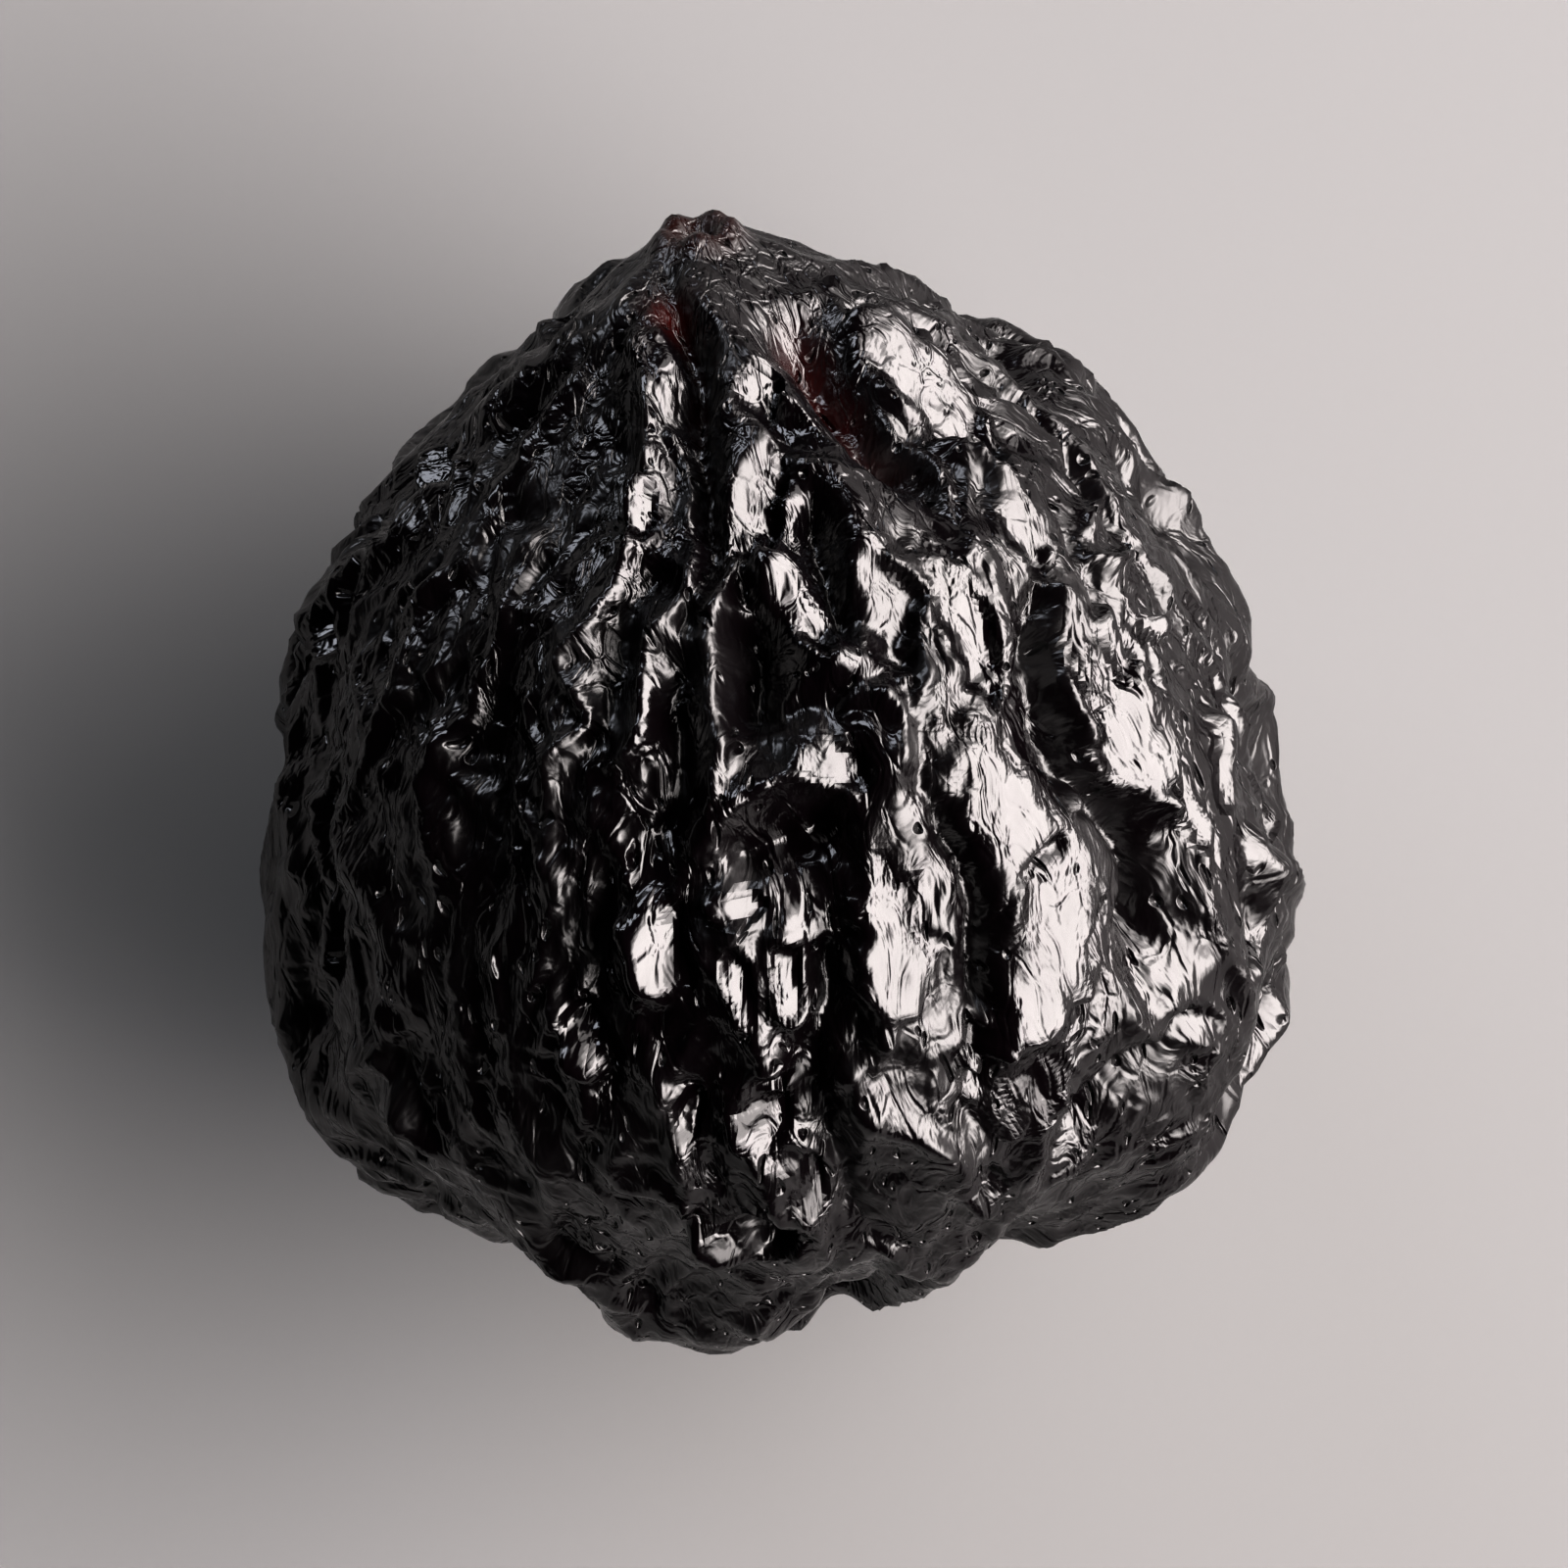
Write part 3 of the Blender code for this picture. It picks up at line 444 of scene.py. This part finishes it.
def foldRelief(directions, angle):
    moves = [drift(directions, scale, seed) for scale, seed in drifts["sizes"]]
    loose = 1 - (1 - drifts["tipShare"]) * np.exp(-((angle / drifts["tipSpread"]) ** 2))
    tipMoves = [move * loose[:, None] for move in moves]      # hardly any drift near the tip
    ringAt = drifted(directions, tipMoves, drifts["ring"])
    smallAt = drifted(directions, tipMoves, drifts["small"])
    fineAt = drifted(directions, tipMoves, drifts["fine"])
    lineAt = drifted(directions, moves, drifts["line"])

    onTop = 1 / (1 + np.exp(-(directions[:, 2] - ringPocket["topEdge"]) / ringPocket["topBlend"]))
    ringShare = 1 - (1 - ringPocket["topShare"]) * onTop
    # the skin is smoother on the right of the upper side
    topShare = smallPocket["topShare"] - smallPocket["rightEase"] * directions[:, 0]
    smallShare = 1 - (1 - topShare) * onTop
    relief = ringShare * pocketRelief(ringAt, ringPocketList(), ringPocket)
    relief += lineRelief(lineAt, ridgeLines, lineShape["crestRounding"])
    relief += lineRelief(lineAt, swellLines, lineShape["swellRounding"])
    rim = 1 + facetShape["jag"][0] * moves[2][:, 0] + facetShape["jag"][1] * moves[3][:, 1]
    relief, cover = facetRelief(lineAt, relief, rim)
    calm = 1 - facetShape["calm"] * cover
    relief -= lineRelief(lineAt, grooveLines, lineShape["crestRounding"]) * calm
    relief += smallShare * calm * pocketRelief(smallAt, scatteredPocketList(smallPocket), smallPocket)
    capped = berry["tallestFold"] * np.tanh(relief / berry["tallestFold"])
    relief = np.where(relief > 0, cover * relief + (1 - cover) * capped, relief)
    fine = pocketRelief(fineAt, scatteredPocketList(finePocket), finePocket)

    toFoot = np.degrees(np.arccos(np.clip(-directions[:, 2], -1, 1)))
    share = 1 - (1 - tipFold["share"]) * np.exp(-((angle / tipFold["spread"]) ** 2))
    share *= 1 - (1 - berry["footFoldShare"]) * np.exp(-((toFoot / berry["footSpread"]) ** 2))
    return (relief + fine * calm) * share, relief, calm


def berryPoints(directions):
    angle = np.degrees(np.arccos(np.clip(directions @ tip, -1, 1)))
    folds, depth, calm = foldRelief(directions, angle)
    radius = smoothRadius(directions) + folds
    radius += calyxRelief(directions, angle) + scarRelief(angle)
    points = directions * radius[:, None]
    points[:, 2] = np.maximum(points[:, 2], points[:, 2].min() + berry["footDepth"])
    low = points.min(axis=0)
    high = points.max(axis=0)
    points = (points - (low + high) / 2) * np.array([berry["width"], berry["length"], berry["height"]])
    points /= high - low
    points[:, 2] -= points[:, 2].min()
    return points, depth, angle, calm


skinPattern = {
    "stretch": 2.0,                 # how much longer than wide the pattern is
    "converge": 0.7,                # 1 keeps its width near the tip, 0 its count round the berry
    "poleGuard": 0.001,
    # the spot below is the skin's own red with painted light shining through the thin skin, laid into
    # the colour as a clearer red
    "thinPaintedGlowSpot": (-0.98, 4.0), "thinPaintedGlowSpotSize": 0.15,     # where light shines through the skin
}


def addBerry():
    # a cube cut into a fine grid, blown up to a ball, then pushed into folds
    bpy.ops.mesh.primitive_cube_add(size=2, location=(0, 0, 0))
    piece = bpy.context.object
    piece.name = "berrySkin"
    bpy.ops.object.mode_set(mode="EDIT")
    bpy.ops.mesh.select_all(action="SELECT")
    bpy.ops.mesh.subdivide(number_cuts=1)
    bpy.ops.mesh.subdivide(number_cuts=berry["cubeCuts"])
    bpy.ops.object.mode_set(mode="OBJECT")
    mesh = piece.data
    grid = np.empty(len(mesh.vertices) * 3)
    mesh.vertices.foreach_get("co", grid)
    directions = unit(np.tan(math.pi / 4 * grid.reshape(-1, 3)))
    points, depth, angle, calm = berryPoints(directions)
    mesh.vertices.foreach_set("co", (points * mm).ravel())
    mesh.attributes.new("foldHeight", "FLOAT", "POINT").data.foreach_set("value", depth)
    mesh.attributes.new("tipAngle", "FLOAT", "POINT").data.foreach_set("value", angle)
    mesh.attributes.new("roughShare", "FLOAT", "POINT").data.foreach_set("value", calm)
    # mask of the thin spot, where light shining through the skin is painted into the colour
    spot = planDirection(np.array([skinPattern["thinPaintedGlowSpot"]]))[0]
    away = np.linalg.norm(directions - spot, axis=1) * berry["meanRadius"]
    thin = np.exp(-((away / skinPattern["thinPaintedGlowSpotSize"]) ** 2))
    mesh.attributes.new("thinPaintedGlowShare", "FLOAT", "POINT").data.foreach_set("value", thin)
    # a place for each point along and round the berry, in mm, which the skin's pattern follows
    fromAxis = np.radians(angle)
    narrowing = np.maximum(np.sin(fromAxis), skinPattern["poleGuard"]) ** (skinPattern["converge"] - 1)
    ring = narrowing * berry["meanRadius"]
    flow = np.column_stack([
        directions @ over * ring,
        directions @ across * ring,
        fromAxis * berry["meanRadius"] / skinPattern["stretch"],
    ])
    mesh.attributes.new("flow", "FLOAT_VECTOR", "POINT").data.foreach_set("vector", flow.ravel())
    mesh.update()
    bpy.ops.object.shade_smooth()
    return piece


piece = addBerry()
print("berry shaped,", len(piece.data.polygons), "squares")


# Dried fruit skin, shrunk into folds by drying: a film of oil makes it glossy, and it is near-black
# with dark red where it is thin, and one thin spot has painted light shining through it as a clearer
# red.
# Pattern sizes are in mm, and the grain, creases and pits are drawn coarser than real ones so that they
# show

skin = {
    "dark": "#040203",
    "red": "#180202",
    # the thin skin's own red, made clearer with painted light shining through it
    "thinRedWithPaintedGlow": "#2c0503",
    "brown": "#1b0907",
    "facetRoughness": 0.16, "foldRoughness": 0.23,
    "ior": 1.45,                    # plant wax
    "noiseDetail": 1.0,
    "oilSpacing": 0.7, "oilNoise": (0.42, 0.68), "oilShare": (0.7, 1.5),
    "wanderSpacing": 0.4, "wander": 0.5,
    "creaseSpacing": 0.24, "creaseWidth": 0.035, "creaseDepth": 0.007,
    "grainSize": 0.06, "grainHeight": 0.01,
    "pitSpacing": 0.19, "pitWidth": 0.05, "pitDepth": 0.085,
    "creasesOnFacets": 0.65, "pitsOnFacets": 0.12,      # the share left on the flat patches
    "redFolds": (-0.15, -0.45),     # depths between which the red sets in
    "redAngles": (45, 20), "brownAngles": (6, 2.5),     # from the tip, likewise
}


def driedSkin():
    material = bpy.data.materials.new("driedFruitSkin")
    material.use_nodes = True
    tree = material.node_tree
    shader = tree.nodes["Principled BSDF"]
    shader.inputs["IOR"].default_value = skin["ior"]

    # the patterns follow the skin along and round the berry, and wander a little
    flow = addNode(tree, "ShaderNodeAttribute", attribute_name="flow").outputs["Vector"]
    rough = addNode(tree, "ShaderNodeAttribute", attribute_name="roughShare").outputs["Fac"]
    facetRough = 1 - facetShape["calm"]
    wander = addNode(tree, "ShaderNodeTexNoise", {"Vector": flow, "Scale": 1 / skin["wanderSpacing"],
                     "Detail": skin["noiseDetail"]})
    bent = addNode(tree, "ShaderNodeVectorMath", {0: wander.outputs["Color"], 1: (skin["wander"],) * 3,
                   2: flow}, operation="MULTIPLY_ADD").outputs[0]

    # fine creases, with grain between them
    cells = addNode(tree, "ShaderNodeTexVoronoi", {"Vector": bent, "Scale": 1 / skin["creaseSpacing"]},
                    feature="DISTANCE_TO_EDGE")
    crease = addNode(tree, "ShaderNodeMapRange", {"Value": cells.outputs["Distance"],
                     "From Max": skin["creaseWidth"] / skin["creaseSpacing"],
                     "To Max": skin["creaseDepth"]}, interpolation_type="SMOOTHSTEP")
    grain = addNode(tree, "ShaderNodeTexNoise", {"Vector": bent, "Scale": 1 / skin["grainSize"],
                    "Detail": skin["noiseDetail"]})
    height = addNode(tree, "ShaderNodeMath", {0: grain.outputs["Fac"], 1: skin["grainHeight"],
                     2: crease.outputs["Result"]}, operation="MULTIPLY_ADD")
    strength = addNode(tree, "ShaderNodeMapRange", {"Value": rough, "From Min": facetRough,
                       "To Min": skin["creasesOnFacets"]})

    # steep pits, shallower on the flat patches, that leave flecks of light on the darker side
    dots = addNode(tree, "ShaderNodeTexVoronoi", {"Vector": bent, "Scale": 1 / skin["pitSpacing"]})
    pit = addNode(tree, "ShaderNodeMapRange", {"Value": dots.outputs["Distance"],
                  "From Max": skin["pitWidth"] / skin["pitSpacing"], "To Max": skin["pitDepth"]},
                  interpolation_type="SMOOTHSTEP")
    pitShare = addNode(tree, "ShaderNodeMapRange", {"Value": rough, "From Min": facetRough,
                       "To Min": skin["pitsOnFacets"]})
    pit = addNode(tree, "ShaderNodeMath", {0: pit.outputs["Result"], 1: pitShare.outputs["Result"]},
                  operation="MULTIPLY")
    height = addNode(tree, "ShaderNodeMath", {0: height.outputs[0], 1: strength.outputs["Result"],
                     2: pit.outputs[0]}, operation="MULTIPLY_ADD")
    bump = addNode(tree, "ShaderNodeBump", {"Height": height.outputs[0], "Distance": mm})
    tree.links.new(bump.outputs["Normal"], shader.inputs["Normal"])

    # oil lies unevenly, so the gloss does too, and the flat patches are the glossiest
    oil = addNode(tree, "ShaderNodeTexNoise", {"Vector": bent, "Scale": 1 / skin["oilSpacing"],
                  "Detail": skin["noiseDetail"]})
    oilShare = addNode(tree, "ShaderNodeMapRange", {"Value": oil.outputs["Fac"],
                       "From Min": skin["oilNoise"][0], "From Max": skin["oilNoise"][1],
                       "To Min": skin["oilShare"][0], "To Max": skin["oilShare"][1]})
    dull = addNode(tree, "ShaderNodeMapRange", {"Value": rough, "From Min": facetRough,
                   "To Min": skin["facetRoughness"], "To Max": skin["foldRoughness"]})
    gloss = addNode(tree, "ShaderNodeMath", {0: oilShare.outputs["Result"], 1: dull.outputs["Result"]},
                    operation="MULTIPLY")
    tree.links.new(gloss.outputs[0], shader.inputs["Roughness"])

    # dark red in the folds near the tip, a clearer red in one thin spot that is partly the skin's own
    # red and partly painted light shining through it, brown on the withered calyx
    fold = addNode(tree, "ShaderNodeAttribute", attribute_name="foldHeight").outputs["Fac"]
    nearTip = addNode(tree, "ShaderNodeAttribute", attribute_name="tipAngle").outputs["Fac"]
    spot = addNode(tree, "ShaderNodeAttribute", attribute_name="thinPaintedGlowShare").outputs["Fac"]
    sunk = addNode(tree, "ShaderNodeMapRange", {"Value": fold, "From Min": skin["redFolds"][0],
                   "From Max": skin["redFolds"][1]})
    close = addNode(tree, "ShaderNodeMapRange", {"Value": nearTip, "From Min": skin["redAngles"][0],
                    "From Max": skin["redAngles"][1]})
    thin = addNode(tree, "ShaderNodeMath", {0: sunk.outputs["Result"], 1: close.outputs["Result"]},
                   operation="MULTIPLY")
    withered = addNode(tree, "ShaderNodeMapRange", {"Value": nearTip,
                       "From Min": skin["brownAngles"][0], "From Max": skin["brownAngles"][1]})
    colour = addNode(tree, "ShaderNodeMix", {0: thin.outputs[0], 6: linearColour(skin["dark"]),
                     7: linearColour(skin["red"])}, data_type="RGBA")
    # painted light: the thin spot's red is made clearer, as if lit through the skin
    colour = addNode(tree, "ShaderNodeMix", {0: spot, 6: colour.outputs[2],
                     7: linearColour(skin["thinRedWithPaintedGlow"])}, data_type="RGBA")
    colour = addNode(tree, "ShaderNodeMix", {0: withered.outputs["Result"], 6: colour.outputs[2],
                     7: linearColour(skin["brown"])}, data_type="RGBA")
    tree.links.new(colour.outputs[2], shader.inputs["Base Color"])
    return material


piece.data.materials.clear()
piece.data.materials.append(driedSkin())
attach(piece, "root")
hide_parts("berry")
print("skin done")


# Floor, lights and camera, in metres and degrees

studio = {
    "floorSize": 0.6,
    "floorColour": "#646464", "floorGlow": 0.025, "floorRoughness": 0.8,
    # brightness of the room overhead and low down, and how far up the walls it changes
    "ceiling": 0.012, "wall": 0.05, "wallTop": 0.28, "wallBase": 0.08,
    "lens": 600, "sensor": 36, "viewSpan": 13.6 * mm, "clip": (0.001, 10),
    "gamma": 0.8,                   # deeper blacks, as in a contrasty print
}


def polar(turn, rise, reach):
    turn = math.radians(turn)
    rise = math.radians(rise)
    level = math.cos(rise) * reach
    return Vector((level * math.cos(turn), level * math.sin(turn), math.sin(rise) * reach))


def addFloor():
    bpy.ops.mesh.primitive_plane_add(size=studio["floorSize"], location=(0, 0, 0))
    floor = bpy.context.object
    floor.name = "paleFloor"
    material = bpy.data.materials.new("paleFloor")
    material.use_nodes = True
    shader = material.node_tree.nodes["Principled BSDF"]
    shader.inputs["Base Color"].default_value = linearColour(studio["floorColour"])
    shader.inputs["Roughness"].default_value = studio["floorRoughness"]
    shader.inputs["Emission Color"].default_value = (1, 1, 1, 1)
    shader.inputs["Emission Strength"].default_value = studio["floorGlow"]
    floor.data.materials.append(material)


# A softbox on the right in three steps, brightest in the middle, and a small cool one behind
lights = [
    # turn, rise, distance, width, height, power, colour
    ("rightKey", 2, 33, 0.13, 0.14, 0.09, 0.54, "#fff7f5"),
    ("rightSoft", 2, 33, 0.14, 0.22, 0.145, 0.76, "#fff7f5"),
    ("rightWide", 10, 34, 0.15, 0.37, 0.19, 1.05, "#fff9f7"),
    ("backBox", 120, 31, 0.15, 0.09, 0.04, 0.13, "#f0f4ff"),
]


def addLight(name, turn, rise, reach, width, height, power, colour):
    middle = Vector((0, 0, berry["height"] * mm / 2))
    place = middle + polar(turn, rise, reach)
    bpy.ops.object.light_add(type="AREA", location=place)
    light = bpy.context.object
    light.name = name
    light.rotation_euler = (middle - place).to_track_quat("-Z", "Y").to_euler()
    light.data.shape = "RECTANGLE"
    light.data.size = width
    light.data.size_y = height
    light.data.energy = power
    light.data.color = linearColour(colour)[:3]


def addCamera():
    middle = berry["height"] * mm / 2
    away = studio["viewSpan"] * studio["lens"] / studio["sensor"]
    bpy.ops.object.camera_add(location=(0, 0, middle + away), rotation=(0, 0, 0))
    camera = bpy.context.object
    camera.data.lens = studio["lens"]
    camera.data.sensor_width = studio["sensor"]
    camera.data.clip_start, camera.data.clip_end = studio["clip"]
    bpy.context.scene.camera = camera


addFloor()
for light in lights:
    addLight(*light)
addCamera()


def addWorld():
    # a white room low down that darkens overhead
    world = bpy.data.worlds.new("studio")
    world.use_nodes = True
    tree = world.node_tree
    place = addNode(tree, "ShaderNodeTexCoord")
    parts = addNode(tree, "ShaderNodeSeparateXYZ", {0: place.outputs["Generated"]})
    low = addNode(tree, "ShaderNodeMapRange", {"Value": parts.outputs["Z"],
                  "From Min": studio["wallTop"], "From Max": studio["wallBase"],
                  "To Min": studio["ceiling"], "To Max": studio["wall"]},
                  interpolation_type="SMOOTHSTEP")
    tree.links.new(low.outputs["Result"], tree.nodes["Background"].inputs["Strength"])
    tree.nodes["Background"].inputs["Color"].default_value = (1, 1, 1, 1)
    bpy.context.scene.world = world


addWorld()
bpy.context.scene.view_settings.view_transform = "Standard"
bpy.context.scene.view_settings.gamma = studio["gamma"]
print("studio ready")
